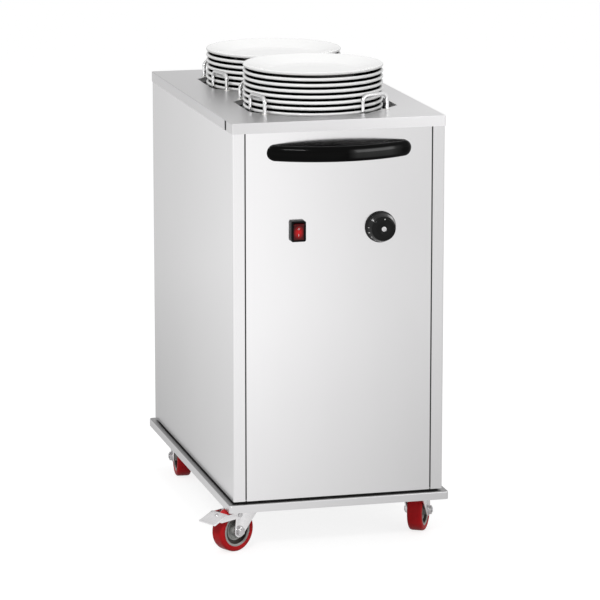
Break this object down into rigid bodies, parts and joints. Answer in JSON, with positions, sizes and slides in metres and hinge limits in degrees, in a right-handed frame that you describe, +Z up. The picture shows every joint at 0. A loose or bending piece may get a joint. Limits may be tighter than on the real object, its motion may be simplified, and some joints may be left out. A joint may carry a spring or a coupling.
{
  "type": "plate dispenser cart",
  "caption": "Mobile heated plate dispenser: a stainless cabinet on swivel casters with spring-lifted stacks of plates in its top, wire guides, a push handle, a dial and a switch.",
  "frame": {"origin": "on the floor, under the middle of the overall box that the casters, the handle and the cable gland set", "axes": "+Z up, -Y towards the front with the push handle and the controls, +X to the right seen from the front"},
  "size_m": [0.5777, 0.8341, 0.9868],
  "materials": {
    "satin_steel": "satin stainless sheet, fine grain",
    "dark_steel": "dark recessed strip",
    "screw_steel": "turned steel fasteners",
    "bright_wire": "polished wire",
    "white_nylon": "natural nylon",
    "spring_steel": "drawn spring wire",
    "heater_steel": "heat-tinted tube",
    "porcelain": "white glaze",
    "black_gloss": "moulded gloss black",
    "black_plastic": "moulded black",
    "red_plastic": "translucent red",
    "zinc_steel": "pressed zinc-plated steel",
    "grey_hub": "moulded grey nylon",
    "red_tyre": "red polyurethane tread"
  },
  "bodies": {
    "cabinet": {"base_tray": "satin_steel", "plinth": "dark_steel", "deck": "satin_steel", "left_side_panel": "satin_steel", "right_side_panel": "satin_steel", "corner_posts": "satin_steel", "front_panel": "satin_steel", "rear_panel": "satin_steel", "rear_screws": "screw_steel", "top_panel": "satin_steel", "front_wire_guides": "bright_wire", "rear_wire_guides": "bright_wire", "guide_bushes": "white_nylon", "front_guide_rails": "satin_steel", "rear_guide_rails": "satin_steel", "front_spring_seat": "satin_steel", "rear_spring_seat": "satin_steel", "front_heater": "heater_steel", "rear_heater": "heater_steel", "heater_clips": "satin_steel", "push_handle": "black_gloss", "handle_screws": "screw_steel", "thermostat": "black_plastic", "switch_housing": "black_plastic", "control_box": "satin_steel", "cable_gland": "black_plastic", "gland_nut": "black_plastic", "caster_plates": "zinc_steel", "caster_bolts": "screw_steel"},
    "front_lift": {"front_carrier": "satin_steel", "front_glides": "white_nylon", "front_lift_spring": "spring_steel"},
    "front_stack": {"front_plates": "porcelain"},
    "rear_lift": {"rear_carrier": "satin_steel", "rear_glides": "white_nylon", "rear_lift_spring": "spring_steel"},
    "rear_stack": {"rear_plates": "porcelain"},
    "front_left_swivel": {"front_left_fork": "zinc_steel", "front_left_axle": "screw_steel", "front_left_brake_pins": "screw_steel"},
    "front_left_wheel": {"front_left_hub": "grey_hub", "front_left_tyre": "red_tyre"},
    "front_left_brake": {"front_left_brake_pedal": "zinc_steel"},
    "front_right_swivel": {"front_right_fork": "zinc_steel", "front_right_axle": "screw_steel"},
    "front_right_wheel": {"front_right_hub": "grey_hub", "front_right_tyre": "red_tyre"},
    "rear_left_swivel": {"rear_left_fork": "zinc_steel", "rear_left_axle": "screw_steel"},
    "rear_left_wheel": {"rear_left_hub": "grey_hub", "rear_left_tyre": "red_tyre"},
    "rear_right_swivel": {"rear_right_fork": "zinc_steel", "rear_right_axle": "screw_steel", "rear_right_brake_pins": "screw_steel"},
    "rear_right_wheel": {"rear_right_hub": "grey_hub", "rear_right_tyre": "red_tyre"},
    "rear_right_brake": {"rear_right_brake_pedal": "zinc_steel"},
    "switch": {"switch_rocker": "red_plastic"},
    "dial": {"thermostat_knob": "black_gloss", "knob_screw": "screw_steel"}
  },
  "joints": [
    {"name": "front_lift_slide", "type": "slide", "parent": "cabinet", "child": "front_lift", "axis": [0, 0, 1], "range_m": [-0.36, 0.09], "stiffness_N_per_m": 841, "springref_m": 0.2182, "deforming": ["front_lift_spring"]},
    {"name": "front_stack_lift_off", "type": "slide", "parent": "front_lift", "child": "front_stack", "axis": [0, 0, 1], "range_m": [0, 0.3]},
    {"name": "rear_lift_slide", "type": "slide", "parent": "cabinet", "child": "rear_lift", "axis": [0, 0, 1], "range_m": [-0.36, 0.09], "stiffness_N_per_m": 841, "springref_m": 0.2062, "deforming": ["rear_lift_spring"]},
    {"name": "rear_stack_lift_off", "type": "slide", "parent": "rear_lift", "child": "rear_stack", "axis": [0, 0, 1], "range_m": [0, 0.3]},
    {"name": "front_left_swivel_turn", "type": "hinge", "parent": "cabinet", "child": "front_left_swivel", "pos_m": [-0.181, -0.303, 0.098], "axis": [0, 0, 1], "continuous": true},
    {"name": "front_left_wheel_roll", "type": "hinge", "parent": "front_left_swivel", "child": "front_left_wheel", "pos_m": [-0.21632, -0.32178, 0.045], "axis": [0.4695, -0.8829, 0], "continuous": true},
    {"name": "front_left_brake_press", "type": "hinge", "parent": "front_left_swivel", "child": "front_left_brake", "pos_m": [-0.21632, -0.32178, 0.08], "axis": [0.4695, -0.8829, 0], "range_deg": [0, 10]},
    {"name": "front_right_swivel_turn", "type": "hinge", "parent": "cabinet", "child": "front_right_swivel", "pos_m": [0.181, -0.303, 0.098], "axis": [0, 0, 1], "continuous": true},
    {"name": "front_right_wheel_roll", "type": "hinge", "parent": "front_right_swivel", "child": "front_right_wheel", "pos_m": [0.20064, -0.26815, 0.045], "axis": [-0.8712, 0.4909, 0], "continuous": true},
    {"name": "rear_left_swivel_turn", "type": "hinge", "parent": "cabinet", "child": "rear_left_swivel", "pos_m": [-0.181, 0.337, 0.098], "axis": [0, 0, 1], "continuous": true},
    {"name": "rear_left_wheel_roll", "type": "hinge", "parent": "rear_left_swivel", "child": "rear_left_wheel", "pos_m": [-0.18421, 0.29713, 0.045], "axis": [0.9968, -0.0802, 0], "continuous": true},
    {"name": "rear_right_swivel_turn", "type": "hinge", "parent": "cabinet", "child": "rear_right_swivel", "pos_m": [0.181, 0.337, 0.098], "axis": [0, 0, 1], "continuous": true},
    {"name": "rear_right_wheel_roll", "type": "hinge", "parent": "rear_right_swivel", "child": "rear_right_wheel", "pos_m": [0.21439, 0.35902, 0.045], "axis": [-0.5505, 0.8348, 0], "continuous": true},
    {"name": "rear_right_brake_press", "type": "hinge", "parent": "rear_right_swivel", "child": "rear_right_brake", "pos_m": [0.21439, 0.35902, 0.08], "axis": [-0.5505, 0.8348, 0], "range_deg": [0, 10]},
    {"name": "switch_rock", "type": "hinge", "parent": "cabinet", "child": "switch", "pos_m": [-0.088, -0.3655, 0.675], "axis": [1, 0, 0], "range_deg": [-16, 0]},
    {"name": "dial_turn", "type": "hinge", "parent": "cabinet", "child": "dial", "pos_m": [0.087, -0.378, 0.675], "axis": [0, 1, 0], "range_deg": [0, 270]}
  ]
}
